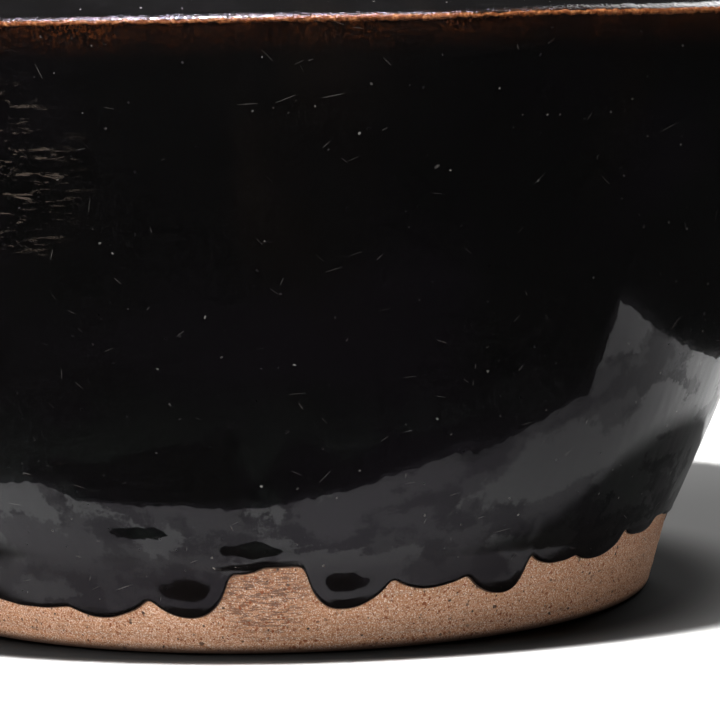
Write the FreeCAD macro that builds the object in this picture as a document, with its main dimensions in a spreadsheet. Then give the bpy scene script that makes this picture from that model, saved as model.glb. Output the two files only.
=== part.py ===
import FreeCAD, Part
import Sketcher
import math
import os

# A wheel-made storage jar: a bare clay foot, a wall that swells to a sharp shoulder edge, a domed
# shoulder, a short neck and a rolled lip. It is thrown in sections that are luted together, then
# glazed inside and out. The outer glaze has run, and its beads hang over the bare foot.
# Frame: millimetres, +Z up the turning axis, origin at the middle of the foot, front towards -Y.

SIZES = {
    # base disc, with a foot ring round a shallow trimmed recess
    "foot_radius": 92.7,
    "foot_bevel": 1.4,
    "ring_inner_radius": 79.0,
    "recess_depth": 2.5,
    "recess_slope": 2.0,
    "base_level": 9.0,
    "base_radius": 94.82,
    # lower wall, from the base disc to the joint half-way up
    "trim_level": 20.5,
    "trim_radius": 98.07,
    "joint_level": 76.0,
    "joint_radius": 120.570,
    "joint_inner_radius": 113.659,
    # belly wall, from the joint to the shoulder edge
    "edge_level": 142.2,
    "edge_radius": 135.6,
    "wall_curve": 395.0,
    "wall_inner_curve": 400.0,
    "wall_inner_foot": 85.5,
    "edge_inner_radius": 128.6,
    # shoulder, from the edge to the root of the neck
    "shoulder_curve": 180.0,
    "shoulder_inner_curve": 175.0,
    "shoulder_inner_level": 171.5,
    "neck_level": 178.0,
    "neck_root_radius": 64.0,
    "shoulder_inner_radius": 57.5,
    # neck and rolled lip
    "lip_level": 196.0,
    "neck_top_radius": 62.0,
    "lip_middle_radius": 61.1,
    "lip_middle_level": 200.6,
    "lip_roll": 5.5,
    "lip_under_radius": 64.115,
    # outer glaze on the wall, and the skirt that its runs are cut from
    "skin": 1.2,
    "edge_skin": 0.8,
    "edge_skin_rise": 0.6,
    "glaze_curve": 390.0,
    "skirt_level": 7.0,
    "skirt_radius": 94.26,
    # outer glaze on the shoulder, neck and lip
    "shoulder_glaze_curve": 181.0,
    "neck_skin": 0.8,
    "neck_skin_rise": 1.0,
    "lip_glaze_roll": 6.3,
    "lip_glaze_radius": 64.933,
    "lip_glaze_level": 195.6,
    "lip_glaze_foot": 194.9,
    # glaze lining
    "lining": 0.7,
    "lining_cove": 8.0,
    "cove_radius": 88.6,
    "cove_foot": 81.5,
    "lining_wall_curve": 399.0,
    "lining_shoulder_curve": 174.0,
}

# Glaze runs as (turn from the front in degrees, width, level of the tip), anticlockwise from above.
RUNS = [
    (-38, 22, 9.2), (-26, 20, 8.1), (-12, 17, 8.6), (8.5, 18, 10.2), (20.5, 16, 13.9),
    (31.5, 15.5, 10.8), (40.5, 11, 16.1), (48.5, 13, 15.2), (61.5, 13, 18.2), (76, 16, 13.0),
    (92, 18, 10.5), (106, 14, 15.5), (121, 17, 9.5), (139, 20, 12.0), (155, 15, 16.0),
    (172, 18, 9.0), (190, 17, 13.5), (207, 15, 10.0), (223, 19, 15.0), (241, 17, 8.5),
    (258, 16, 12.5), (275, 19, 10.5), (292, 16, 15.0), (307, 17, 11.0),
]
TONGUE_INSET = 86.0
TONGUE_REACH = 20.0
TONGUE_RISE = 16.0

doc = FreeCAD.newDocument("StorageJar")
sheet = doc.addObject("Spreadsheet::Sheet", "Sizes")


def fill_sheet():
    """Write every driving size to the sheet, one named cell each."""
    sizes = dict(SIZES)
    for number, (turn, width, tip) in enumerate(RUNS, start=1):
        sizes["run_width_%d" % number] = width
        sizes["run_tip_%d" % number] = tip
    for row, (alias, value) in enumerate(sizes.items(), start=1):
        sheet.set("A%d" % row, alias)
        sheet.set("B%d" % row, str(value))
        sheet.setAlias("B%d" % row, alias)
    doc.recompute()


def measure(formula):
    """The number that a formula such as 'edge_radius + skin' gives; an empty formula is nought."""
    total, sign = 0.0, 1.0
    for word in formula.split():
        if word in "+-":
            sign = 1.0 if word == "+" else -1.0
        else:
            total += sign * SIZES[word]
    return total


def driven(formula):
    """The same formula as an expression on the sheet's cells."""
    return " ".join(word if word in "+-" else "Sizes." + word for word in formula.split())


def arc_between(start, end, radius, turn):
    """A circular arc from start to end, turning left (ccw) or right (cw) on its way."""
    chord = end - start
    reach = math.sqrt(radius ** 2 - (chord.Length / 2) ** 2)
    left = FreeCAD.Vector(-chord.y, chord.x, 0) / chord.Length
    centre = (start + end) / 2 + left * (reach if turn == "ccw" else -reach)
    first, last = (start, end) if turn == "ccw" else (end, start)
    begin, finish = (math.atan2(point.y - centre.y, point.x - centre.x) for point in (first, last))
    if finish < begin:
        finish += 2 * math.pi
    return Part.ArcOfCircle(Part.Circle(centre, FreeCAD.Vector(0, 0, 1), radius), begin, finish)


def dimension(sketch, formula, *what):
    """Add a dimension to a sketch and drive it from the sheet."""
    index = sketch.addConstraint(Sketcher.Constraint(*what, measure(formula)))
    sketch.setExpression("Constraints[%d]" % index, driven(formula))


def draw_outline(sketch, outline):
    """Draw a closed outline of (radius, level) corners; a corner may start an arc to the next."""
    points = [FreeCAD.Vector(measure(corner[0]), measure(corner[1]), 0) for corner in outline]
    ends = []
    for index, corner in enumerate(outline):
        start, end = points[index], points[(index + 1) % len(points)]
        if len(corner) == 4:
            radius, turn = corner[2:]
            edge = sketch.addGeometry(arc_between(start, end, measure(radius), turn))
            ends.append((edge, 1, 2) if turn == "ccw" else (edge, 2, 1))
        else:
            edge = sketch.addGeometry(Part.LineSegment(start, end))
            ends.append((edge, 1, 2))
    for index, corner in enumerate(outline):
        edge, start, end = ends[index]
        following = ends[(index + 1) % len(ends)]
        sketch.addConstraint(Sketcher.Constraint("Coincident", edge, end, following[0], following[1]))
        for formula, way, axis in ((corner[0], "DistanceX", -2), (corner[1], "DistanceY", -1)):
            if formula:
                dimension(sketch, formula, way, -1, 1, edge, start)
            else:
                sketch.addConstraint(Sketcher.Constraint("PointOnObject", edge, start, axis))
        if len(corner) == 4:
            dimension(sketch, corner[2], "Radius", edge)


def origin_plane(body, role):
    return next(feature for feature in body.Origin.OriginFeatures if feature.Role == role)


def turned(label, outline):
    """A body made on the wheel: a closed outline in the XZ plane, turned about the Z axis."""
    body = doc.addObject("PartDesign::Body", label)
    body.Label = label
    sketch = body.newObject("Sketcher::SketchObject", label + "_outline")
    sketch.AttachmentSupport = [(origin_plane(body, "XZ_Plane"), "")]
    sketch.MapMode = "FlatFace"
    draw_outline(sketch, outline)
    revolution = body.newObject("PartDesign::Revolution", label + "_turning")
    revolution.Profile = sketch
    revolution.ReferenceAxis = (sketch, ["V_Axis"])
    revolution.Angle = 360
    body.Tip = revolution
    body.Placement = FreeCAD.Placement()
    doc.recompute()
    return body


def base_disc():
    """Thrown base: a flat floor inside, a bevelled foot ring and a trimmed recess beneath."""
    return turned("base_disc", [
        ("ring_inner_radius", ""),
        ("foot_radius - foot_bevel", ""),
        ("foot_radius", "foot_bevel"),
        ("base_radius", "base_level"),
        ("", "base_level"),
        ("", "recess_depth"),
        ("ring_inner_radius - recess_slope", "recess_depth"),
    ])


def lower_wall():
    """The lower wall: a straight trimmed band above the base, then the start of the swelling curve."""
    return turned("lower_wall", [
        ("base_radius", "base_level"),
        ("trim_radius", "trim_level", "wall_curve", "ccw"),
        ("joint_radius", "joint_level"),
        ("joint_inner_radius", "joint_level", "wall_inner_curve", "cw"),
        ("wall_inner_foot", "base_level"),
    ])


def belly_wall():
    """The belly wall: the same curve carried up to the shoulder edge, luted on the lower wall."""
    return turned("belly_wall", [
        ("joint_inner_radius", "joint_level"),
        ("joint_radius", "joint_level", "wall_curve", "ccw"),
        ("edge_radius", "edge_level"),
        ("edge_inner_radius", "edge_level", "wall_inner_curve", "cw"),
    ])


def shoulder_section():
    """The domed shoulder, luted rim to rim on the wall at the sharp edge."""
    return turned("shoulder_section", [
        ("edge_inner_radius", "edge_level"),
        ("edge_radius", "edge_level", "shoulder_curve", "ccw"),
        ("neck_root_radius", "neck_level"),
        ("shoulder_inner_radius", "neck_level"),
        ("shoulder_inner_radius", "shoulder_inner_level", "shoulder_inner_curve", "cw"),
    ])


def neck_collar():
    """The short neck, slightly narrower at its top."""
    return turned("neck_collar", [
        ("shoulder_inner_radius", "neck_level"),
        ("neck_root_radius", "neck_level"),
        ("neck_top_radius", "lip_level"),
        ("lip_middle_radius - lip_roll", "lip_level"),
    ])


def rolled_lip():
    """The lip: the top of the neck rolled outwards into a round bead."""
    return turned("rolled_lip", [
        ("lip_middle_radius - lip_roll", "lip_level"),
        ("lip_under_radius", "lip_level", "lip_roll", "ccw"),
        ("lip_middle_radius + lip_roll", "lip_middle_level", "lip_roll", "ccw"),
        ("lip_middle_radius", "lip_middle_level + lip_roll", "lip_roll", "ccw"),
        ("lip_middle_radius - lip_roll", "lip_middle_level"),
    ])


def run_tongue(number, turn):
    """One run as a block that crosses the skirt, straight-sided above and round at its tip."""
    width = "Sizes.run_width_%d" % number
    half = sheet.get("run_width_%d" % number) / 2
    middle = sheet.get("run_tip_%d" % number) + half
    around = FreeCAD.Rotation(FreeCAD.Vector(0, 0, 1), turn - 90)
    tip = doc.addObject("Part::Cylinder", "run_tip_%d" % number)
    tip.setExpression("Radius", width + " / 2")
    tip.Height = TONGUE_REACH
    outwards = FreeCAD.Rotation(FreeCAD.Vector(0, 1, 0), 90)
    tip.Placement = FreeCAD.Placement(
        around.multVec(FreeCAD.Vector(TONGUE_INSET, 0, middle)), around.multiply(outwards))
    stem = doc.addObject("Part::Box", "run_stem_%d" % number)
    stem.Length = TONGUE_REACH
    stem.setExpression("Width", width)
    stem.Height = TONGUE_RISE
    stem.Placement = FreeCAD.Placement(
        around.multVec(FreeCAD.Vector(TONGUE_INSET, -half, middle)), around)
    return [tip, stem]


def wall_glaze():
    """The wall's outer glaze: an even skin from the shoulder edge down, and its runs below it."""
    skin = turned("wall_skin", [
        ("trim_radius", "trim_level"),
        ("trim_radius + skin", "trim_level", "glaze_curve", "ccw"),
        ("edge_radius + edge_skin", "edge_level + edge_skin_rise"),
        ("edge_radius", "edge_level", "wall_curve", "cw"),
        ("joint_radius", "joint_level", "wall_curve", "cw"),
    ])
    skirt = turned("run_skirt", [
        ("skirt_radius", "skirt_level"),
        ("skirt_radius + skin", "skirt_level"),
        ("trim_radius + skin", "trim_level"),
        ("trim_radius", "trim_level"),
    ])
    blocks = []
    for number, (turn, _width, _tip) in enumerate(RUNS, start=1):
        blocks += run_tongue(number, turn)
    tongues = doc.addObject("Part::MultiFuse", "run_tongues")
    tongues.Shapes = blocks
    runs = doc.addObject("Part::Common", "glaze_runs")
    runs.Base = skirt
    runs.Tool = tongues
    glaze = doc.addObject("Part::Fuse", "wall_glaze")
    glaze.Base = skin
    glaze.Tool = runs
    glaze.Label = "wall_glaze"
    doc.recompute()
    return glaze


def shoulder_glaze():
    """The outer glaze from the shoulder edge over the shoulder, the neck and the lip."""
    return turned("shoulder_glaze", [
        ("edge_radius", "edge_level"),
        ("edge_radius + edge_skin", "edge_level + edge_skin_rise", "shoulder_glaze_curve", "ccw"),
        ("neck_root_radius + neck_skin", "neck_level + neck_skin_rise"),
        ("neck_top_radius + neck_skin", "lip_glaze_foot"),
        ("lip_glaze_radius", "lip_glaze_level", "lip_glaze_roll", "ccw"),
        ("lip_middle_radius + lip_glaze_roll", "lip_middle_level", "lip_glaze_roll", "ccw"),
        ("lip_middle_radius", "lip_middle_level + lip_glaze_roll", "lip_glaze_roll", "ccw"),
        ("lip_middle_radius - lip_glaze_roll", "lip_middle_level"),
        ("lip_middle_radius - lip_roll", "lip_middle_level", "lip_roll", "cw"),
        ("lip_middle_radius", "lip_middle_level + lip_roll", "lip_roll", "cw"),
        ("lip_middle_radius + lip_roll", "lip_middle_level", "lip_roll", "cw"),
        ("lip_under_radius", "lip_level"),
        ("neck_top_radius", "lip_level"),
        ("neck_root_radius", "neck_level", "shoulder_curve", "cw"),
    ])


def lining_glaze():
    """The glaze lining of the whole inside, coved where the wall meets the floor."""
    return turned("lining_glaze", [
        ("", "base_level"),
        ("wall_inner_foot", "base_level", "wall_inner_curve", "ccw"),
        ("joint_inner_radius", "joint_level", "wall_inner_curve", "ccw"),
        ("edge_inner_radius", "edge_level", "shoulder_inner_curve", "ccw"),
        ("shoulder_inner_radius", "shoulder_inner_level"),
        ("shoulder_inner_radius", "neck_level"),
        ("lip_middle_radius - lip_roll", "lip_level"),
        ("lip_middle_radius - lip_roll", "lip_middle_level"),
        ("lip_middle_radius - lip_glaze_roll", "lip_middle_level"),
        ("lip_middle_radius - lip_roll - lining", "lip_level"),
        ("shoulder_inner_radius - lining", "neck_level"),
        ("shoulder_inner_radius - lining", "shoulder_inner_level - lining", "lining_shoulder_curve", "cw"),
        ("edge_inner_radius - lining", "edge_level", "lining_wall_curve", "cw"),
        ("cove_radius", "base_level + lining_cove", "lining_cove", "cw"),
        ("cove_foot", "base_level + lining"),
        ("", "base_level + lining"),
    ])


def check(pieces):
    """Stop before anything is written if an object failed or a piece has no sound solid."""
    failed = [item.Label for item in doc.Objects if {"Invalid", "Error"} & set(item.State)]
    if failed:
        raise RuntimeError("failed objects: " + ", ".join(failed))
    for piece in pieces:
        shape = piece.Shape
        if shape.isNull() or not shape.isValid() or not shape.Solids:
            raise RuntimeError(piece.Label + " has no sound solid")


fill_sheet()
pieces = [base_disc(), lower_wall(), belly_wall(), shoulder_section(), neck_collar(),
          rolled_lip(), wall_glaze(), shoulder_glaze(), lining_glaze()]
doc.recompute()
check(pieces)
os.makedirs("parts", exist_ok=True)
for piece in pieces:
    piece.Shape.exportStep("parts/%s.step" % piece.Label)
    box = piece.Shape.BoundBox
    print("%-17s %d solid, %9.0f mm3, radius %6.2f, z %6.2f to %6.2f" % (
        piece.Label, len(piece.Shape.Solids), piece.Shape.Volume, box.XMax, box.ZMin, box.ZMax))
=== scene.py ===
import math
import random

import bpy
import numpy as np
from mathutils import Matrix, Vector


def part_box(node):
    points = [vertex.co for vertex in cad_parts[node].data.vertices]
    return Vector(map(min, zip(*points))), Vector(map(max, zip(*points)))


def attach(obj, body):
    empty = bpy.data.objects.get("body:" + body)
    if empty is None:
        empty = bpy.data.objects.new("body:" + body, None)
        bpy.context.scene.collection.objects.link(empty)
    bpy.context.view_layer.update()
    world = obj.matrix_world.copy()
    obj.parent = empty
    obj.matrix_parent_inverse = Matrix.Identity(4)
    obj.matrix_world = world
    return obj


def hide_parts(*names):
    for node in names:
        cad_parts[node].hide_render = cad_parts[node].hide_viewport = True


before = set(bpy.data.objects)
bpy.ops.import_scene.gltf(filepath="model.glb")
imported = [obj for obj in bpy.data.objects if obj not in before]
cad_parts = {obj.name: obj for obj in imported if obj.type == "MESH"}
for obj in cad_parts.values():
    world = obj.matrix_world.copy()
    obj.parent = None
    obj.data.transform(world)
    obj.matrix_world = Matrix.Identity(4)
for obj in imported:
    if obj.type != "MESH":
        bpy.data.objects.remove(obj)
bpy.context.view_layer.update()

# A black-glazed stoneware jar, dressed round its frame of clay sections and glaze skins.
# Lengths are metres in the jar's own frame: +Z up the turning axis, the front towards -Y.
# A turn is an angle round the axis, in degrees from the front, anticlockwise from above.

MM = 0.001

# ---------------------------------------------------------------- the jar's lines

FOOT_RADIUS = 92.7 * MM
FOOT_ROUND = 1.3 * MM
RECESS_DEPTH = 2.5 * MM
BASE_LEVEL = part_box("base_disc")[1].z
BAND_SLOPE = 0.283
TRIM_LEVEL = 20.5 * MM
JOINT_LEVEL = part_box("lower_wall")[1].z
EDGE_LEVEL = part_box("wall_glaze")[1].z
EDGE_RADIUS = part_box("wall_glaze")[1].x
LIP_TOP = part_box("shoulder_glaze")[1].z
SKIN = 0.85 * MM
CLAY_INSET = 0.8 * MM
EDGE_FALL = 0.6 * MM        # how far the clay's own edge lies below the glazed one

# Radii of the arcs that the sections and their glaze are turned to.
CLAY_WALL_CURVE, WALL_INSIDE_CURVE = 395 * MM, 400 * MM
DOME_OUTSIDE_CURVE, DOME_INSIDE_CURVE = 180 * MM, 175 * MM
GLAZE_WALL_CURVE, GLAZE_DOME_CURVE = 384 * MM, 181 * MM
LINING_WALL_CURVE, LINING_DOME_CURVE = 399 * MM, 174 * MM

# Points round each ring of a piece.
CLAY_POINTS, WALL_POINTS, SHOULDER_POINTS, LINING_POINTS = 768, 920, 640, 400

def arc_line(start, end, curve, steps):
    """Points of an arc from start to end, both (radius, level), that bulges to its right."""
    start, end = np.array(start), np.array(end)
    chord = end - start
    length = np.hypot(*chord)
    left = np.array([-chord[1], chord[0]]) / length
    centre = (start + end) / 2 + left * math.sqrt(curve ** 2 - (length / 2) ** 2)
    begin, finish = (math.atan2(*(point - centre)[::-1]) for point in (start, end))
    if finish < begin:
        finish += 2 * math.pi
    angles = np.linspace(begin, finish, steps)
    return centre + curve * np.column_stack([np.cos(angles), np.sin(angles)])

def clay_radius(level):
    """The bare clay's outer radius: a straight trimmed band, then the swelling curve."""
    band = FOOT_RADIUS + BAND_SLOPE * (level - FOOT_ROUND)
    foot = FOOT_RADIUS + BAND_SLOPE * (TRIM_LEVEL - FOOT_ROUND)
    edge = (EDGE_RADIUS - CLAY_INSET, EDGE_LEVEL - EDGE_FALL)
    curve = arc_line((foot, TRIM_LEVEL), edge, CLAY_WALL_CURVE, 200)
    return np.where(level < TRIM_LEVEL, band, np.interp(level, curve[:, 1], curve[:, 0]))

def spaced(points, gap):
    """The same line with its points a small even gap apart."""
    along = np.concatenate([[0], np.cumsum(np.hypot(*np.diff(points, axis=0).T))])
    places = np.linspace(0, along[-1], int(along[-1] / gap) + 1)
    return np.column_stack([np.interp(places, along, points[:, axis]) for axis in (0, 1)])

def softened(points, softness):
    """A line with its corners rounded, each point averaged over its own softness."""
    along = np.concatenate([[0], np.cumsum(np.hypot(*np.diff(points, axis=0).T))])
    rounded = points.copy()
    for index in range(1, len(points) - 1):
        reach = min(softness[index], along[index] / 3, (along[-1] - along[index]) / 3)
        weight = np.exp(-0.5 * ((along - along[index]) / max(reach, 1e-7)) ** 2)
        rounded[index] = weight @ points / weight.sum()
    return rounded

def thinned(points, finest, coarsest):
    """Fewer points where a line runs nearly straight, more where it bends."""
    along = np.concatenate([[0], np.cumsum(np.hypot(*np.diff(points, axis=0).T))])
    heading = np.unwrap(np.arctan2(*np.gradient(points, axis=0).T[::-1]))
    bend = np.abs(np.gradient(heading, along))
    step = np.clip(0.14 / np.maximum(bend, 1e-6), finest, coarsest)
    for index in range(1, len(step)):
        step[index] = min(step[index], step[index - 1] * 1.12)
    for index in range(len(step) - 2, -1, -1):
        step[index] = min(step[index], step[index + 1] * 1.12)
    count = np.concatenate([[0], np.cumsum(np.diff(along) * 2 / (step[1:] + step[:-1]))])
    places = np.interp(np.linspace(0, count[-1], int(count[-1]) + 2), count, along)
    return np.column_stack([np.interp(places, along, points[:, axis]) for axis in (0, 1)])

def outer_glaze_line():
    """The outer glaze's face from the wall over the edge, the shoulder and the neck into the lip."""
    wall = arc_line((99.0 * MM, TRIM_LEVEL), (EDGE_RADIUS, EDGE_LEVEL), GLAZE_WALL_CURVE, 240)
    shoulder = arc_line((EDGE_RADIUS, EDGE_LEVEL), (64.8 * MM, 179 * MM), GLAZE_DOME_CURVE, 200)
    neck = np.array([(64.8, 179.0), (62.9, 187.0), (62.8, 194.9), (64.93, 195.6)]) * MM
    middle = np.array([61.1, 200.6]) * MM
    roll = [middle + (LIP_TOP - middle[1]) * np.array([math.cos(a), math.sin(a)])
            for a in np.radians(np.linspace(-52, 180, 80))]
    line = spaced(np.vstack([wall, shoulder[1:], neck[1:], roll[1:]]), 0.12 * MM)
    levels = np.array([138, 141, 144, 150, 170, 180, 186, 192, 197, 199]) * MM
    softness = np.array([1.6, 0.34, 0.50, 2.2, 2.5, 2.5, 2.0, 1.0, 0.8, 0.3]) * MM
    return softened(line, np.interp(line[:, 1], levels, softness))

glaze_line = outer_glaze_line()
widest = int(glaze_line[:, 0].argmax())
wall_line, shoulder_line = glaze_line[:widest + 1], glaze_line[widest:]

# ---------------------------------------------------------------- how the glaze ran

# Runs at the foot: turn of the tip, reach to the left and right in degrees, level of the tip and swell in mm.
RUNS = [
    (-37.0, 14, 16, 9.2, 0.0), (-25.4, 8.5, 9.2, 8.1, 0.15), (-12.1, 7.4, 5.3, 8.6, 1.05),
    (-5.4, 2.6, 3.2, 19.2, 0.0), (8.0, 4.7, 7.2, 10.2, 1.0), (20.4, 6.5, 6.8, 13.9, 0.1),
    (32.0, 6.8, 3.4, 10.7, 0.45), (41.2, 5.6, 4.6, 16.0, 0.1), (48.6, 5.2, 6.4, 15.2, 0.1),
    (61.3, 5.0, 4.0, 18.1, 0.1), (78, 6, 5, 19.0, 0.1), (94, 7, 5, 10.5, 0.8),
    (107, 4.5, 5, 15.5, 0.2), (121, 7, 5, 9.5, 0.8), (139, 6, 8, 12.0, 0.2),
    (155, 5, 4.5, 16.0, 0.1), (172, 6, 7, 9.0, 0.7), (190, 6, 5, 13.5, 0.3),
    (207, 4.5, 6, 10.0, 0.8), (223, 7, 6, 15.0, 0.1), (241, 5, 6, 8.5, 0.85),
    (258, 6, 4.5, 12.5, 0.3), (275, 7, 6, 10.5, 0.6), (292, 5, 5, 15.0, 0.1),
    (305, 5.5, 8, 11.0, 0.4),
]
RUN_RADIUS = 97 * MM
RUN_REST = 20.5 * MM
RUN_ROUND = 0.45            # degrees over which the run line's corners are rounded
RUN_STEP = 0.05             # degrees between the points that the run line is worked out at
BELLY_RISE = 3.2            # how far above its tip a run is thickest, in mm

# Thick pools between the runs: turn and half width in degrees, then the middle's level, the fall below
# it, the fall above it and the swell in mm.
POOLS = [
    (-5.8, 4.2, 22.2, 2.2, 3.9, 0.92), (-0.2, 3.8, 21.4, 2.0, 4.2, 0.95), (-18.0, 5.4, 26.6, 3.4, 2.9, 0.68),
    (150.0, 5.0, 22.8, 1.8, 3.2, 0.55), (-110.0, 4.4, 24.5, 2.0, 3.0, 0.45),
]

def swing(turns, seed, cycles, size):
    """A smooth unevenness round the jar: a few waves with seeded phases."""
    draw = random.Random(seed)
    wave = sum(np.sin(np.radians(turns) * count + draw.uniform(0, 6.28)) * draw.uniform(0.5, 1)
               for count in cycles)
    return size * wave / len(cycles)

def run_line(turns):
    """The level of the glaze's lower edge: lobes hung from an uneven line, their corners rounded."""
    fine = np.arange(-180, 180, RUN_STEP)
    rest = RUN_REST + swing(fine, 4, (3, 5, 11), 0.5 * MM)
    level = rest.copy()
    for turn, left, right, tip, _ in RUNS:
        away = (fine - turn + 180) % 360 - 180
        reach = np.abs(away) / np.where(away < 0, left, right)
        lobe = tip * MM + (rest - tip * MM) * (1 - np.sqrt(np.clip(1 - reach ** 2, 0, 1)))
        level = np.where(reach < 1, np.minimum(level, lobe), level)
    level += swing(fine, 5, (41, 57, 73, 97), 0.16 * MM)
    side = 60
    kernel = np.exp(-0.5 * (np.arange(-side, side + 1) * RUN_STEP / RUN_ROUND) ** 2)
    level = np.convolve(np.concatenate([level[-side:], level, level[:side]]), kernel / kernel.sum(), "valid")
    return np.interp(turns, fine, level, period=360)

def run_swell(turns, level):
    """How far the runs' bellies and the pools between them stand out."""
    out = np.zeros(level.shape)
    for turn, left, right, tip, swell in RUNS:
        away = (turns - turn + 180) % 360 - 180
        reach = away / np.where(away < 0, left, right)
        belly = (tip + BELLY_RISE) * MM
        rise = (level - belly) / np.where(level < belly, 2.8 * MM, 4.6 * MM)
        out += swell * MM * np.exp(-(reach / 0.62) ** 2 - rise ** 2)
    for turn, width, middle, lower, upper, swell in POOLS:
        reach = ((turns - turn + 180) % 360 - 180) / width
        rise = (level - middle * MM) / np.where(level < middle * MM, lower * MM, upper * MM)
        out += swell * MM * np.exp(-reach ** 4 - rise ** 2)
    return out

def ripple(turns, level):
    """Slow dents and swells that cross the lower wall at a slant, fading out upwards."""
    draw = random.Random(71)
    out = np.zeros(level.shape)
    for _ in range(16):
        around, upward, start = draw.randint(14, 44), draw.uniform(-420, 420), draw.uniform(0, 6.28)
        wave = np.sin(np.radians(turns) * around + level * upward + start)
        out += wave * draw.uniform(0.4, 1) * 20 / around
    return 0.026 * MM * out * np.interp(level, [20 * MM, 45 * MM, 85 * MM], [1, 1, 0.25])

def peel(turns, level):
    """The faint orange-peel waves the glaze froze with."""
    draw = random.Random(97)
    out = np.zeros(level.shape)
    for _ in range(26):
        around, upward, start = draw.randint(80, 260), draw.uniform(-950, 950), draw.uniform(0, 6.28)
        out += np.sin(np.radians(turns) * around + level * upward + start)
    return 0.0026 * MM * out

def run_turns(count):
    """Turns that stand evenly along the run line, so its steep flanks get enough points."""
    fine = np.linspace(-180, 180, 40001)
    level = run_line(fine)
    length = np.hypot(np.radians(np.diff(fine)) * RUN_RADIUS, np.diff(level))
    along = np.concatenate([[0], np.cumsum(length)])
    return np.interp(np.linspace(0, along[-1], count, endpoint=False), along, fine)

def edge_wobble(turns, radius, level):
    """The shoulder edge's small unevenness, fading out down the wall and up the shoulder."""
    share = np.interp(level, [90 * MM, EDGE_LEVEL, 165 * MM], [0, 1, 0])
    drop = swing(turns, 11, (2, 5, 9, 14), 0.30 * MM) + 0.35 * MM
    shrink = swing(turns, 12, (3, 4, 8), 0.12 * MM) - 0.13 * MM
    return radius + shrink * share, level + drop * share

# ---------------------------------------------------------------- shaping tools

def ready():
    """Object mode with nothing selected."""
    if bpy.context.object and bpy.context.object.mode != "OBJECT":
        bpy.ops.object.mode_set(mode="OBJECT")
    bpy.ops.object.select_all(action="DESELECT")

def pulled_up(name, line, segments):
    """A ring of clay or glaze, pulled up ring by ring along a line of (radius, level)."""
    ready()
    bpy.ops.mesh.primitive_circle_add(vertices=segments, radius=line[0][0], location=(0, 0, line[0][1]))
    piece = bpy.context.object
    piece.name = piece.data.name = name
    bpy.ops.object.transform_apply(location=True)
    bpy.ops.object.mode_set(mode="EDIT")
    bpy.ops.mesh.select_all(action="SELECT")
    for (radius, level), (next_radius, next_level) in zip(line[:-1], line[1:]):
        grow = next_radius / radius
        bpy.ops.mesh.extrude_region_move(TRANSFORM_OT_translate={"value": (0, 0, next_level - level)})
        bpy.ops.transform.resize(value=(grow, grow, 1), center_override=(0, 0, next_level))
    bpy.ops.object.mode_set(mode="OBJECT")
    return piece

def trued(piece, turns, radius, level):
    """Settle every ring point at its own radius and level; rows are rings, columns are turns."""
    rows, segments = radius.shape
    place = np.zeros(len(piece.data.vertices) * 3)
    piece.data.vertices.foreach_get("co", place)
    place = place.reshape(rows, segments, 3)
    around = (np.arctan2(place[0, :, 0], -place[0, :, 1]) + 2 * math.pi + 1e-4) % (2 * math.pi)
    column = np.empty(segments, int)
    column[np.argsort(around)] = np.arange(segments)
    start = np.argsort(turns % 360)
    column = start[column]
    angle = np.radians(turns)[column]
    place[..., 0] = radius[:, column] * np.sin(angle)
    place[..., 1] = -radius[:, column] * np.cos(angle)
    place[..., 2] = level[:, column]
    piece.data.vertices.foreach_set("co", place.ravel())
    piece.data.update()

def closed(piece, cap=False):
    """Join the last ring to the first, or cap the open ends, and turn every face outwards."""
    ready()
    piece.select_set(True)
    bpy.context.view_layer.objects.active = piece
    bpy.ops.object.mode_set(mode="EDIT")
    bpy.ops.mesh.select_all(action="SELECT")
    bpy.ops.mesh.remove_doubles(threshold=1e-7)
    if cap:
        bpy.ops.mesh.select_all(action="DESELECT")
        bpy.ops.mesh.select_non_manifold()
        bpy.ops.mesh.edge_face_add()
        bpy.ops.mesh.poke()
    bpy.ops.mesh.select_all(action="SELECT")
    bpy.ops.mesh.normals_make_consistent(inside=False)
    bpy.ops.object.mode_set(mode="OBJECT")
    bpy.ops.object.shade_smooth_by_angle(angle=math.radians(40))

def rings(line, turns):
    """A line's radii and levels repeated for every turn."""
    line = np.array(line)
    return [np.repeat(line[:, axis:axis + 1], len(turns), axis=1) for axis in (0, 1)]

def thrown(name, turns, radius, level, cap=False):
    """A whole piece from the radii and levels of its rings, its faces outwards and its ends closed."""
    piece = pulled_up(name, list(zip(radius.mean(axis=1), level.mean(axis=1))), len(turns))
    trued(piece, turns, radius, level)
    closed(piece, cap)
    return piece

def even_turns(count):
    """Turns evenly round the jar."""
    return np.linspace(-180, 180, count, endpoint=False)

# ---------------------------------------------------------------- clay pieces

def turning_marks(turns, level):
    """Fine ridges that the turning tool left, drifting a little round the jar."""
    drift = swing(turns, 21, (1, 2, 5), 0.9 * MM)
    marks = np.zeros(np.broadcast(turns, level).shape)
    for pitch, size, seed in ((2.9, 0.030, 1), (1.15, 0.016, 2), (6.1, 0.035, 3)):
        phase = random.Random(seed).uniform(0, 6.28)
        marks = marks + size * MM * np.sin((level + drift) * 2 * math.pi / (pitch * MM) + phase)
    return marks + swing(turns, 22, (3, 5, 8, 13), 0.10 * MM)

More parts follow.
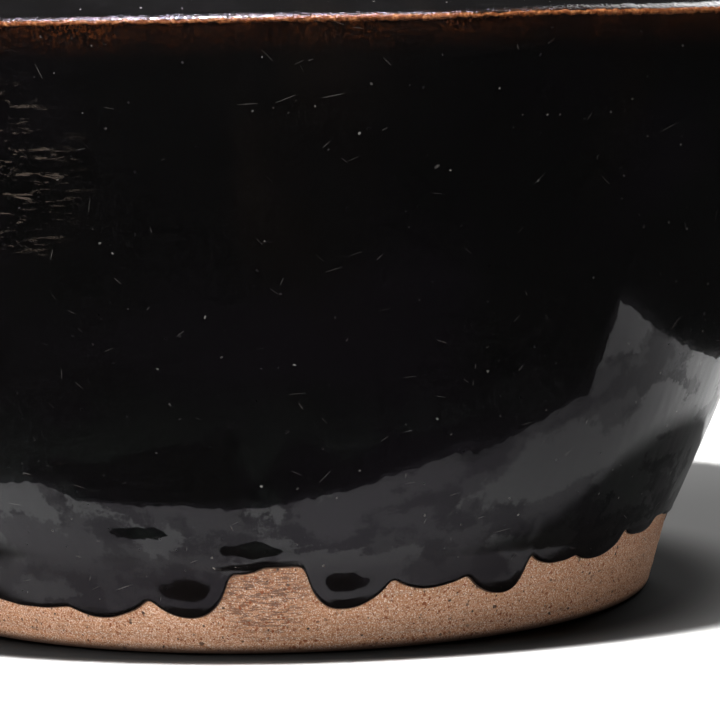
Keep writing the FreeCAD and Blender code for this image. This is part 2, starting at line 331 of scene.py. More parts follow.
def clay_base():
    """The thrown base: a trimmed recess, a flat ring to stand on, a rounded foot and the bare band."""
    turns = even_turns(CLAY_POINTS)
    recess = [(radius * MM, RECESS_DEPTH) for radius in (2, 30, 60, 74, 76.4)]
    ring = np.array([(77, 2.3), (78.4, 0.4), (79, 0.06), (79.8, 0), (85, 0), (89, 0)]) * MM
    band_foot = (FOOT_RADIUS + BAND_SLOPE * 1.1 * MM, 2.4 * MM)
    corner = np.maximum(arc_line((90.2 * MM, 0), band_foot, 2.6 * MM, 16), 0)
    band = [(float(clay_radius(level)), level) for level in np.linspace(2.7 * MM, BASE_LEVEL, 20)]
    top = [(radius * MM, BASE_LEVEL) for radius in (80, 40, 2)]
    radius, level = rings(np.vstack([recess, ring, corner, band, top]), turns)
    outside = (radius > 90 * MM) & (level > 0)
    radius = radius + np.where(outside, turning_marks(turns, level), 0)
    wear_top = 1.6 * MM
    worn = np.clip(swing(turns, 31, (7, 12, 19, 31, 43), 0.16 * MM), 0, 1)
    level = level + np.where(outside & (level < wear_top), worn * (level / wear_top), 0)
    piece = thrown("clay_base", turns, radius, level, cap=True)
    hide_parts("base_disc")
    return piece

def clay_wall():
    """The lower wall, its bare band marked by the turning tool."""
    turns = even_turns(CLAY_POINTS)
    bare = np.linspace(BASE_LEVEL, 25 * MM, 44)
    levels = np.concatenate([bare, np.linspace(28 * MM, JOINT_LEVEL, 7)])
    outer = [(float(clay_radius(level)), level) for level in levels]
    inner_edge = (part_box("belly_wall")[1].x - 7 * MM, EDGE_LEVEL - EDGE_FALL)
    inner = arc_line((85.5 * MM, BASE_LEVEL), inner_edge, WALL_INSIDE_CURVE, 60)
    inside = [(float(np.interp(level, inner[:, 1], inner[:, 0])), level)
              for level in np.linspace(JOINT_LEVEL, BASE_LEVEL, 8)]
    radius, level = rings(outer + inside + outer[:1], turns)
    shown = np.zeros(radius.shape, bool)
    shown[:len(bare)] = shown[-1] = True
    radius = radius + np.where(shown, turning_marks(turns, level), 0)
    piece = thrown("clay_wall", turns, radius, level)
    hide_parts("lower_wall")
    return piece

# ---------------------------------------------------------------- glaze pieces

# The wall glaze's rings stand close at its foot and grow apart upwards.
FIRST_STEP, STEP_GROWTH, LONGEST_STEP = 0.10 * MM, 1.085, 2.3 * MM

def distance_to_run_line(turns, foot, level, rows):
    """How far each point of the rows lies from the glaze's lower edge; 9 mm in the rows above."""
    far = np.full(level.shape, 9.0) * MM
    flat = np.radians(turns) * RUN_RADIUS
    way_round = 2 * math.pi * RUN_RADIUS
    batch = 100
    for row in np.nonzero(rows)[0]:
        for start in range(0, len(turns), batch):
            part = slice(start, start + batch)
            across = (flat[part, None] - flat[None, :] + way_round / 2) % way_round - way_round / 2
            far[row, part] = np.hypot(across, level[row, part, None] - foot[None, :]).min(axis=1)
    return far

def wall_glaze():
    """The wall's glaze, from its beaded runs over the bare foot up to the shoulder edge."""
    turns = run_turns(WALL_POINTS)
    foot = run_line(turns)
    run = np.clip((RUN_REST - foot) / (11 * MM), 0, 1)
    climb = [0.0]
    while climb[-1] < 126 * MM:
        climb.append(climb[-1] + min(FIRST_STEP * STEP_GROWTH ** len(climb), LONGEST_STEP))
    seam_level = wall_line[-1, 1]
    climb = np.array(climb)[:, None] / climb[-1]
    edge_steps = seam_level - np.array([3.0, 2.0, 1.35, 0.9, 0.6, 0.4, 0.25, 0.12, 0.0])[:, None] * MM
    lower = foot + climb[climb[:, 0] < 0.965] * (seam_level - foot)
    level = np.vstack([lower, np.repeat(edge_steps, len(turns), axis=1)])

    skin = np.interp(level, wall_line[:, 1], wall_line[:, 0]) - clay_radius(level)
    skin = np.where(level < TRIM_LEVEL + 2 * MM, SKIN, skin)
    above = level - foot
    far = distance_to_run_line(turns, foot, level, above[:, 0] < 14 * MM)
    contact = (0.9 + 0.4 * run) * MM
    rise = np.sqrt(1 - (1 - np.clip(far / contact, 0, 1)) ** 2)
    bead = (0.20 + 0.30 * run) * MM * np.exp(-(above / (6.0 * MM)) ** 2)
    radius = clay_radius(level) + rise * (skin + bead)
    radius += run_swell(turns, level) * np.clip(far / (3 * MM), 0, 1)
    radius += (ripple(turns, level) + peel(turns, level)) * np.clip(above / (4 * MM), 0, 1)
    unevenness = swing(turns, 41, (2, 5, 9, 16, 23), 0.12 * MM) * np.clip(above / (8 * MM), 0, 1)
    radius += unevenness * np.clip((EDGE_LEVEL - level) / (30 * MM), 0, 1)
    radius, level = edge_wobble(turns, radius, level)

    back_levels = np.array([EDGE_LEVEL - CLAY_INSET, 110 * MM, 76 * MM, 50 * MM, 32 * MM])[:, None]
    back_level = np.repeat(back_levels, len(turns), axis=1)
    back_level = np.vstack([back_level, foot[None, :] + 1.5 * MM, foot[None, :]])
    back = clay_radius(back_level) - 0.2 * MM
    back[-1] = radius[0]
    piece = thrown("wall_glaze_skin", turns, np.vstack([radius, back]), np.vstack([level, back_level]))
    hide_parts("wall_glaze")
    return piece

def shoulder_glaze():
    """The glaze from the edge over the domed shoulder, up the neck and over the rolled lip."""
    turns = even_turns(SHOULDER_POINTS)
    line = thinned(shoulder_line, 0.12 * MM, 2.6 * MM)
    radius, level = rings(line, turns)
    radius, level = edge_wobble(turns, radius, level)
    radius = radius + swing(turns, 51, (2, 3, 5), 0.25 * MM) * np.interp(level, [170 * MM, 195 * MM], [0, 1])
    sag = swing(turns, 52, (1, 2, 5), 0.35 * MM) - 0.35 * MM
    level = level + sag * np.interp(level, [180 * MM, 200 * MM], [0, 1])
    lip = np.array([(55.4, 200.4), (57.0, 203.6), (61.1, 205.6), (65.0, 203.6), (66.1, 200.4), (64.0, 196.4),
                    (61.7, 195.8), (62.2, 190.0), (63.6, 178.2)]) * MM
    dome = arc_line((135.3 * MM, 142.3 * MM), (63.8 * MM, 177.9 * MM), DOME_OUTSIDE_CURVE, 9)[::-1]
    back = np.vstack([lip, dome[1:], line[:1]])
    back_radius, back_level = rings(back, turns)
    back_radius[-1], back_level[-1] = radius[0], level[0]
    radius, level = np.vstack([radius, back_radius]), np.vstack([level, back_level])
    piece = thrown("shoulder_glaze_skin", turns, radius, level)
    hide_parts("shoulder_glaze")
    return piece

def lining_glaze():
    """The glaze lining, with the finger ridges of throwing showing through it."""
    turns = even_turns(LINING_POINTS)
    floor_level = BASE_LEVEL + 0.7 * MM
    wall = arc_line((88.6 * MM, BASE_LEVEL + 8 * MM), (127.9 * MM, 142.2 * MM), LINING_WALL_CURVE, 90)
    dome = arc_line((127.9 * MM, 142.2 * MM), (56.8 * MM, 170.8 * MM), LINING_DOME_CURVE, 60)
    floor = np.array([(2 * MM, floor_level), (81.5 * MM, floor_level)])
    neck = np.array([(56.8, 178.0), (54.9, 196.0), (54.85, 200.5)]) * MM
    line = spaced(np.vstack([floor, wall, dome[1:], neck]), 0.25 * MM)
    softness = np.interp(line[:, 1], np.array([150, 168, 180, 195]) * MM, np.array([3, 2, 2, 0.4]) * MM)
    line = thinned(softened(line, softness), 0.5 * MM, 1.6 * MM)
    radius, level = rings(line, turns)
    twist = level / (9.75 * MM) * 2 * math.pi + np.radians(turns) + swing(turns, 61, (1, 3), 1.2)
    on_wall = np.interp(level, [14 * MM, 26 * MM, 165 * MM, 180 * MM], [0, 1, 1, 0.3])
    radius = radius - 0.14 * MM * (np.sin(twist) + 1) * on_wall
    spiral = 0.2 * MM * (np.sin(radius / (12.6 * MM) * 2 * math.pi - np.radians(turns)) + 1)
    level = level + np.where(level < floor_level + 0.5 * MM, spiral * np.clip(radius / (12 * MM), 0, 1), 0)
    outer_wall = arc_line((85.7 * MM, BASE_LEVEL + 0.1 * MM), (128.8 * MM, 142.2 * MM), WALL_INSIDE_CURVE, 9)
    outer_dome = arc_line((128.8 * MM, 142.2 * MM), (57.7 * MM, 171.7 * MM), DOME_INSIDE_CURVE, 8)
    outer_neck = np.array([(55.5, 200.5), (55.8, 196.0), (57.7, 178.0)]) * MM
    outer_floor = np.array([(40, 9.1), (2, 9.1)]) * MM
    back = np.vstack([outer_neck, outer_dome[::-1], outer_wall[::-1][1:], outer_floor])
    back_radius, back_level = rings(back, turns)
    radius, level = np.vstack([radius, back_radius]), np.vstack([level, back_level])
    piece = thrown("lining_glaze_skin", turns, radius, level, cap=True)
    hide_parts("lining_glaze")
    return piece

# ---------------------------------------------------------------- node tools

def add(tree, kind, sockets=None, **settings):
    """A node with its settings, whose sockets are given values or the outputs that feed them."""
    made = tree.nodes.new(kind)
    for key, value in settings.items():
        setattr(made, key, value)
    for key, value in (sockets or {}).items():
        if isinstance(value, bpy.types.NodeSocket):
            tree.links.new(value, made.inputs[key])
        else:
            made.inputs[key].default_value = value
    return made

def calc(tree, operation, *values, clamp=False):
    """One Math node's result."""
    return add(tree, "ShaderNodeMath", dict(enumerate(values)), operation=operation, use_clamp=clamp).outputs[0]

def fade(tree, value, low, high, to_low=0.0, to_high=1.0):
    """A smooth ramp: to_low where the value is at low, to_high where it is at high."""
    sockets = {"Value": value, "From Min": low, "From Max": high, "To Min": to_low, "To Max": to_high}
    return add(tree, "ShaderNodeMapRange", sockets, interpolation_type="SMOOTHSTEP").outputs[0]

def ramp(tree, value, low, high):
    """A straight ramp, from 0 where the value is at low to 1 where it is at high."""
    return add(tree, "ShaderNodeMapRange", {"Value": value, "From Min": low, "From Max": high}).outputs[0]

def times(tree, first, *others):
    """Values multiplied together."""
    for other in others:
        first = calc(tree, "MULTIPLY", first, other)
    return first

def distance(tree, place, point):
    """How far each part of a surface is from one point."""
    return add(tree, "ShaderNodeVectorMath", {0: place, 1: point}, operation="DISTANCE").outputs["Value"]

def blend(tree, share, first, second):
    """A Mix Color node's result; colours are three numbers or an output."""
    made = tree.nodes.new("ShaderNodeMix")
    made.data_type = "RGBA"
    for index, value in ((0, share), (6, first), (7, second)):
        if isinstance(value, bpy.types.NodeSocket):
            tree.links.new(value, made.inputs[index])
        else:
            made.inputs[index].default_value = (*value, 1) if index else value
    return made.outputs[2]

def blend_value(tree, share, first, second):
    """A plain number mixed between two."""
    return add(tree, "ShaderNodeMix", {0: share, 2: first, 3: second}, data_type="FLOAT").outputs[0]

def noise(tree, vector, scale, detail=3.0, roughness=0.5, distortion=0.0):
    """A Noise Texture's value, about 0.5 all over."""
    sockets = {"Vector": vector, "Scale": scale, "Detail": detail, "Roughness": roughness,
               "Distortion": distortion}
    return add(tree, "ShaderNodeTexNoise", sockets).outputs["Fac"]

def stretched(tree, vector, scale, turn=(0.0, 0.0, 0.0)):
    """Object coordinates scaled and turned by a Mapping node."""
    return add(tree, "ShaderNodeMapping", {"Vector": vector, "Scale": scale, "Rotation": turn}).outputs[0]

def effect(name, inputs, outputs):
    """An empty shader node group with its named sockets, and its input and output nodes."""
    group = bpy.data.node_groups.new(name, "ShaderNodeTree")
    for label, kind, value in inputs:
        socket = group.interface.new_socket(label, in_out="INPUT", socket_type="NodeSocket" + kind)
        if value is not None:
            socket.default_value = value
    for label, kind in outputs:
        group.interface.new_socket(label, in_out="OUTPUT", socket_type="NodeSocket" + kind)
    return group, group.nodes.new("NodeGroupInput").outputs, group.nodes.new("NodeGroupOutput").inputs

def apply_effect(tree, group, sockets):
    """A shared effect placed in a material with its own values."""
    return add(tree, "ShaderNodeGroup", sockets, node_tree=group).outputs

# ---------------------------------------------------------------- shared effects

def make_specks():
    """Round specks of mixed size: a mask, and a value that differs from speck to speck."""
    group, given, out = effect("specks", [("Vector", "Vector", None), ("Scale", "Float", 300.0),
                                          ("Size", "Float", 0.2), ("Share", "Float", 0.5)],
                               [("Mask", "Float"), ("Kind", "Float")])
    shaken = add(group, "ShaderNodeTexNoise", {"Vector": given["Vector"], "Scale": 900.0, "Detail": 2.0})
    wander = add(group, "ShaderNodeVectorMath", {0: shaken.outputs["Color"], 1: (0.0012, 0.0012, 0.0012)},
                 operation="MULTIPLY").outputs[0]
    place = add(group, "ShaderNodeVectorMath", {0: given["Vector"], 1: wander}, operation="ADD").outputs[0]
    cells = add(group, "ShaderNodeTexVoronoi", {"Vector": place, "Scale": given["Scale"]})
    split = add(group, "ShaderNodeSeparateColor", {"Color": cells.outputs["Color"]}).outputs
    size = times(group, given["Size"], fade(group, split[0], 0.0, 1.0, 0.25, 1.0))
    inner = times(group, size, 0.76)
    spot = ramp(group, cells.outputs["Distance"], size, inner)
    chosen = calc(group, "LESS_THAN", split[1], given["Share"])
    group.links.new(times(group, spot, chosen), out["Mask"])
    group.links.new(split[2], out["Kind"])
    return group

def make_ring_marks():
    """Level lines round the jar that come and go, as a tool or a finger leaves them."""
    group, given, out = effect("ring_marks", [("Vector", "Vector", None), ("Pitch", "Float", 0.001),
                                              ("Breaks", "Float", 0.5)], [("Height", "Float")])
    place = add(group, "ShaderNodeSeparateXYZ", {"Vector": given["Vector"]}).outputs
    drift = noise(group, given["Vector"], 9.0, 1.0)
    level = calc(group, "ADD", place[2], times(group, drift, 0.004))
    lines = add(group, "ShaderNodeTexNoise", {"W": calc(group, "DIVIDE", level, given["Pitch"]), "Scale": 1.0,
                                              "Detail": 4.0, "Roughness": 0.62}, noise_dimensions="1D")
    long = stretched(group, given["Vector"], (14.0, 14.0, 220.0))
    gaps = fade(group, noise(group, long, 1.0, 3.0), 0.35, 0.65)
    kept = blend_value(group, given["Breaks"], 1.0, gaps)
    centred = calc(group, "SUBTRACT", lines.outputs["Fac"], 0.5)
    group.links.new(times(group, centred, kept), out["Height"])
    return group

def make_scratches():
    """Short hair-fine scratches, one across some cells of a grid, each with its own slant."""
    group, given, out = effect("scratches", [("Vector", "Vector", None), ("Scale", "Float", 90.0),
                                             ("Share", "Float", 0.3), ("Width", "Float", 0.006)],
                               [("Mask", "Float")])
    cells = add(group, "ShaderNodeTexVoronoi", {"Vector": given["Vector"], "Scale": given["Scale"]})
    scaled = add(group, "ShaderNodeVectorMath", {0: given["Vector"], "Scale": given["Scale"]}, operation="SCALE")
    centre = add(group, "ShaderNodeVectorMath", {0: cells.outputs["Position"], "Scale": given["Scale"]},
                 operation="SCALE")
    inside = add(group, "ShaderNodeVectorMath", {0: scaled.outputs[0], 1: centre.outputs[0]},
                 operation="SUBTRACT").outputs[0]
    slant = add(group, "ShaderNodeVectorMath", {0: cells.outputs["Color"], 1: (0.5, 0.5, 0.5)},
                operation="SUBTRACT").outputs[0]
    slant = add(group, "ShaderNodeVectorMath", {0: slant}, operation="NORMALIZE").outputs[0]
    aside = add(group, "ShaderNodeVectorMath", {0: inside, 1: slant}, operation="DOT_PRODUCT").outputs["Value"]
    thin = ramp(group, calc(group, "ABSOLUTE", aside), given["Width"], 0.0)
    kind = add(group, "ShaderNodeSeparateColor", {"Color": cells.outputs["Color"]}).outputs
    reach = fade(group, cells.outputs["Distance"], calc(group, "MULTIPLY_ADD", kind[2], 0.30, 0.08), 0.04)
    chosen = calc(group, "LESS_THAN", kind[1], given["Share"])
    group.links.new(times(group, thin, reach, chosen), out["Mask"])
    return group

def make_mottle():
    """Soft-edged patches, stretched level round the jar, as glaze pools and thins."""
    group, given, out = effect("mottle", [("Vector", "Vector", None), ("Scale", "Float", 20.0),
                                          ("Flatness", "Float", 2.0), ("Low", "Float", 0.45),
                                          ("High", "Float", 0.6)], [("Mask", "Float")])
    shape = add(group, "ShaderNodeCombineXYZ", {"X": 1.0, "Y": 1.0, "Z": given["Flatness"]}).outputs[0]
    place = add(group, "ShaderNodeVectorMath", {0: given["Vector"], 1: shape}, operation="MULTIPLY").outputs[0]
    cloud = add(group, "ShaderNodeTexNoise", {"Vector": place, "Scale": given["Scale"], "Detail": 6.0,
                                              "Roughness": 0.56, "Distortion": 0.4}).outputs["Fac"]
    made = add(group, "ShaderNodeMapRange", {"Value": cloud, "From Min": given["Low"], "From Max": given["High"]},
               interpolation_type="SMOOTHSTEP")
    group.links.new(made.outputs[0], out["Mask"])
    return group

specks, ring_marks, scratches, mottle = make_specks(), make_ring_marks(), make_scratches(), make_mottle()

def spots(tree, place, scale, size, share):
    """The specks effect: its mask, and a value that differs from speck to speck."""
    return apply_effect(tree, specks, {"Vector": place, "Scale": scale, "Size": size, "Share": share})

def rings_left(tree, place, pitch, breaks):
    """The ring marks effect: its height."""
    return apply_effect(tree, ring_marks, {"Vector": place, "Pitch": pitch, "Breaks": breaks})["Height"]

def hairs(tree, place, scale, share, width):
    """The scratches effect: its mask."""
    return apply_effect(tree, scratches, {"Vector": place, "Scale": scale, "Share": share, "Width": width})["Mask"]

def patches(tree, place, scale, flatness, low, high):
    """The mottle effect: its mask."""
    sockets = {"Vector": place, "Scale": scale, "Flatness": flatness, "Low": low, "High": high}
    return apply_effect(tree, mottle, sockets)["Mask"]

def new_material(name):
    """A material with its Principled BSDF and the piece's own coordinates."""
    made = bpy.data.materials.new(name)
    made.use_nodes = True
    tree = made.node_tree
    surface = tree.nodes["Principled BSDF"]
    return made, tree, surface, add(tree, "ShaderNodeTexCoord").outputs["Object"]

def bump(tree, height, strength, depth, below=None):
    """A Bump node's normal, laid over the one below it."""
    sockets = {"Height": height, "Strength": strength, "Distance": depth}
    if below is not None:
        sockets["Normal"] = below
    return add(tree, "ShaderNodeBump", sockets).outputs[0]

# ---------------------------------------------------------------- materials

GLAZE_BLACK = (0.0019, 0.0018, 0.0018)
GLAZE_SHEEN_BROWN = (0.0031, 0.0025, 0.0022)
GLAZE_GREY_GREEN_AND_SHEEN = (0.0040, 0.0045, 0.0042)
GLAZE_PURPLE = (0.0026, 0.0022, 0.0027)
BREAK_RUST = (0.100, 0.028, 0.0068)
BREAK_PALE = (0.250, 0.104, 0.040)
BREAK_LIP = (0.110, 0.034, 0.011)
BREAK_BROWN = (0.024, 0.0072, 0.0025)
DUST = (0.30, 0.28, 0.25)
SCUFF = (0.24, 0.19, 0.15)
GLAZE_THICK = (0.0034, 0.0027, 0.0025)
RUBBED_SPOT = (-0.0600, -0.1170, 0.1110)

def black_glaze():
    """The outer glaze: glossy black, rust where it breaks over the edge and the lip, dusty and scuffed."""
    made, tree, surface, place = new_material("black_glaze")
    _, depth, height = add(tree, "ShaderNodeSeparateXYZ", {"Vector": place}).outputs
    gap = add(tree, "ShaderNodeAttribute", attribute_name="edge_gap").outputs["Fac"]

    jitter = add(tree, "ShaderNodeTexNoise", {"Vector": place, "Scale": 520.0, "Detail": 3.0, "Roughness": 0.7})
    jitter = add(tree, "ShaderNodeVectorMath", {0: jitter.outputs["Color"], 1: (0.5, 0.5, 0.5)},
                 operation="SUBTRACT")
    jitter = add(tree, "ShaderNodeVectorMath", {0: jitter.outputs[0], 1: (0.0075, 0.0075, 0.0045), 2: place},
                 operation="MULTIPLY_ADD").outputs[0]
    patch = patches(tree, jitter, 36.0, 1.6, 0.500, 0.522)
    drift = patches(tree, place, 13.0, 1.6, 0.42, 0.66)
    low_wall = fade(tree, height, 0.070, 0.030)
    colour = blend(tree, drift, GLAZE_BLACK, GLAZE_PURPLE)
    # Grey-green patches on the low wall: a glaze tone, and partly painted sheen where the mirrored table shows.
    colour = blend(tree, times(tree, patch, low_wall), colour, GLAZE_GREY_GREEN_AND_SHEEN)
    colour = blend(tree, fade(tree, height, 0.030, 0.018), colour, GLAZE_THICK)
    streaks = patches(tree, place, 26.0, 0.35, 0.50, 0.72)
    colour = blend(tree, times(tree, streaks, fade(tree, height, 0.06, 0.12)), colour, GLAZE_SHEEN_BROWN)

    wander = times(tree, calc(tree, "SUBTRACT", noise(tree, place, 420.0, 4.0, 0.7), 0.5), 0.0017)
    broken = calc(tree, "ADD", gap, wander)
    below = times(tree, broken, -1.0)
    fall = patches(tree, place, 90.0, 0.55, 0.30, 0.72)
    flecks = fade(tree, noise(tree, place, 1100.0, 3.0, 0.75), 0.45, 0.60, 0.10, 1.5)
    fall = calc(tree, "MULTIPLY_ADD", fall, 0.75, 0.25)
    brown = times(tree, fade(tree, below, 0.0085, -0.0010), fall, flecks)
    brown = calc(tree, "MULTIPLY", brown, fade(tree, broken, 0.0016, 0.0004), clamp=True)
    colour = blend(tree, brown, colour, BREAK_BROWN)
    wide = noise(tree, place, 22.0, 3.0)
    reach_up = fade(tree, wide, 0.3, 0.7, 0.00030, 0.00060)
    upper_side = ramp(tree, broken, times(tree, reach_up, 1.35), times(tree, reach_up, 0.8))
    lower_side = ramp(tree, below, times(tree, reach_up, 1.5), times(tree, reach_up, -0.1))
    line = times(tree, upper_side, lower_side)
    tone = blend(tree, fade(tree, noise(tree, place, 900.0, 3.0, 0.75), 0.46, 0.66), BREAK_RUST, BREAK_PALE)
    colour = blend(tree, line, colour, tone)
    lip = times(tree, fade(tree, height, LIP_TOP - 1.9 * MM, LIP_TOP - 0.2 * MM),
                fade(tree, noise(tree, place, 110.0, 5.0, 0.6), 0.30, 0.70), 0.62)
    colour = blend(tree, lip, colour, BREAK_LIP)

    grit = spots(tree, place, 360.0, 0.12, 0.55)
    grain = times(tree, grit["Mask"], calc(tree, "POWER", grit["Kind"], 3.0))
    colour = blend(tree, times(tree, grain, 0.50), colour, DUST)
    coarse_hair = hairs(tree, place, 110.0, 0.45, 0.010)
    fine_hair = hairs(tree, stretched(tree, place, (1.0, 1.0, 1.3)), 190.0, 0.40, 0.016)
    hair = calc(tree, "MAXIMUM", coarse_hair, fine_hair)
    colour = blend(tree, times(tree, hair, 0.20), colour, DUST)
    back_rubs = fade(tree, noise(tree, place, 11.0, 2.0), 0.66, 0.72)
    back_rubs = times(tree, back_rubs, fade(tree, depth, -0.05, 0.0))
    front_rub = fade(tree, distance(tree, place, RUBBED_SPOT), 0.026, 0.010)
    rubbed = calc(tree, "MAXIMUM", front_rub, back_rubs)
    scuff = noise(tree, stretched(tree, place, (150.0, 150.0, 900.0), (0.05, 0.12, 0.0)), 1.0, 5.0, 0.7, 0.6)
    scuff = times(tree, fade(tree, scuff, 0.55, 0.66), rubbed)
    colour = blend(tree, times(tree, scuff, 0.16), colour, SCUFF)
    film = rings_left(tree, place, 0.0009, 1.0)
    film = times(tree, fade(tree, film, 0.13, 0.26), fade(tree, gap, 0.0008, 0.003, 0.16, 1.0))
    colour = blend(tree, times(tree, film, 0.050), colour, DUST)
    tree.links.new(colour, surface.inputs["Base Color"])

    rough = fade(tree, noise(tree, place, 55.0, 4.0, 0.6), 0.35, 0.7, 0.10, 0.16)
    rough = calc(tree, "ADD", rough, times(tree, line, 0.22))
    worn = times(tree, calc(tree, "MAXIMUM", hair, grit["Mask"]), 0.35)
    rough = calc(tree, "ADD", rough, worn, clamp=True)
    tree.links.new(rough, surface.inputs["Roughness"])
    surface.inputs["IOR"].default_value = 1.48
    surface.inputs["Specular IOR Level"].default_value = 0.2
    surface.inputs["Specular Tint"].default_value = (1.0, 0.90, 1.12, 1)
    surface.inputs["Coat Roughness"].default_value = 0.022
    bloom = patches(tree, jitter, 62.0, 1.5, 0.48, 0.53)
    shine = blend_value(tree, calc(tree, "MAXIMUM", patch, times(tree, bloom, 0.42)), 0.24, 1.0)
    shine = times(tree, shine, fade(tree, height, 0.015, 0.031, 0.55, 1.0))
    crust = times(tree, fade(tree, noise(tree, place, 1000.0, 2.0, 0.75), 0.59, 0.53),
                  fade(tree, broken, 0.0021, 0.0012), fade(tree, below, 0.0012, 0.0005))
    shine = times(tree, shine, calc(tree, "SUBTRACT", 1.0, crust))
    tree.links.new(shine, surface.inputs["Coat Weight"])
    tree.links.new(glaze_relief(tree, place, broken, below), surface.inputs["Normal"])
    return made

def glaze_relief(tree, place, broken, below):
    """The outer glaze's finest relief: throwing rings, dimples, pits and a gritty edge."""
    rings_in_glaze = rings_left(tree, place, 0.0035, 0.4)
    dimples = calc(tree, "MULTIPLY_ADD", noise(tree, place, 260.0, 2.0), 0.35, noise(tree, place, 95.0, 2.0))
    pits = spots(tree, place, 95.0, 0.075, 0.09)["Mask"]
    normal = bump(tree, rings_in_glaze, 0.03, 0.0004)
    normal = bump(tree, dimples, 0.09, 0.0005, normal)
    normal = bump(tree, noise(tree, place, 640.0, 2.0, 0.6), 0.05, 0.0003, normal)
    edge_grain = times(tree, noise(tree, place, 1500.0, 2.0, 0.6), fade(tree, broken, 0.0026, 0.0006),
                       fade(tree, below, 0.0016, 0.0002))
    normal = bump(tree, edge_grain, 0.75, 0.0006, normal)
    return bump(tree, calc(tree, "SUBTRACT", 1.0, pits), 0.8, 0.0003, normal)

LINING_BLACK = (0.0055, 0.0045, 0.0040)
LINING_BROWN = (0.0145, 0.0075, 0.0045)

def lining_finish():
    """The lining glaze: black-brown pools over the throwing ridges, rough spots and a browner rim."""
    made, tree, surface, place = new_material("lining_glaze")
    pool = patches(tree, place, 42.0, 2.5, 0.36, 0.74)
    colour = blend(tree, pool, LINING_BLACK, LINING_BROWN)
    rough_spots = spots(tree, place, 210.0, 0.16, 0.2)
    colour = blend(tree, times(tree, rough_spots["Mask"], 0.5), colour, BREAK_RUST)
    rim = fade(tree, add(tree, "ShaderNodeSeparateXYZ", {"Vector": place}).outputs[2], 0.194, 0.2005)
    colour = blend(tree, times(tree, rim, 0.5), colour, BREAK_BROWN)
    tree.links.new(colour, surface.inputs["Base Color"])
    rough = fade(tree, noise(tree, place, 48.0, 4.0, 0.6), 0.35, 0.7, 0.10, 0.24)
    tree.links.new(rough, surface.inputs["Roughness"])
    surface.inputs["IOR"].default_value = 1.48
    lines = rings_left(tree, place, 0.0028, 0.3)
    normal = bump(tree, lines, 0.35, 0.0012)
    normal = bump(tree, noise(tree, place, 300.0, 2.0), 0.10, 0.0005, normal)
    tree.links.new(normal, surface.inputs["Normal"])
    return made

CLAY_BUFF = (0.53, 0.295, 0.185)
CLAY_WARM = (0.46, 0.235, 0.130)
CLAY_ASH = (0.36, 0.265, 0.210)
CLAY_RUST = (0.20, 0.055, 0.016)
# Toasted clay colour, for the smears and for the painted shade below the glaze line.
CLAY_TOAST_AND_SHADE = (0.30, 0.155, 0.090)
# Dark iron colour, for the specks and for the painted shade along the foot edge.
CLAY_IRON_AND_SHADE = (0.035, 0.022, 0.018)
CLAY_SAND = (0.80, 0.67, 0.57)
CLAY_SMUDGE = (0.085, 0.045, 0.033)
CLAY_OCHRE = (0.33, 0.135, 0.058)
SMUDGE_SPOT = (-0.0040, -0.0960, 0.0150)

# Specks in the clay: cells per metre, size against a cell, share of the cells, colour and strength.
CLAY_SPECKS = [
    (1500.0, 0.46, 0.42, CLAY_RUST, 0.95), (820.0, 0.40, 0.50, CLAY_RUST, 1.0),
    (460.0, 0.27, 0.24, CLAY_IRON_AND_SHADE, 0.95), (900.0, 0.36, 0.30, CLAY_IRON_AND_SHADE, 0.95),
    (240.0, 0.17, 0.10, CLAY_IRON_AND_SHADE, 0.7),
]

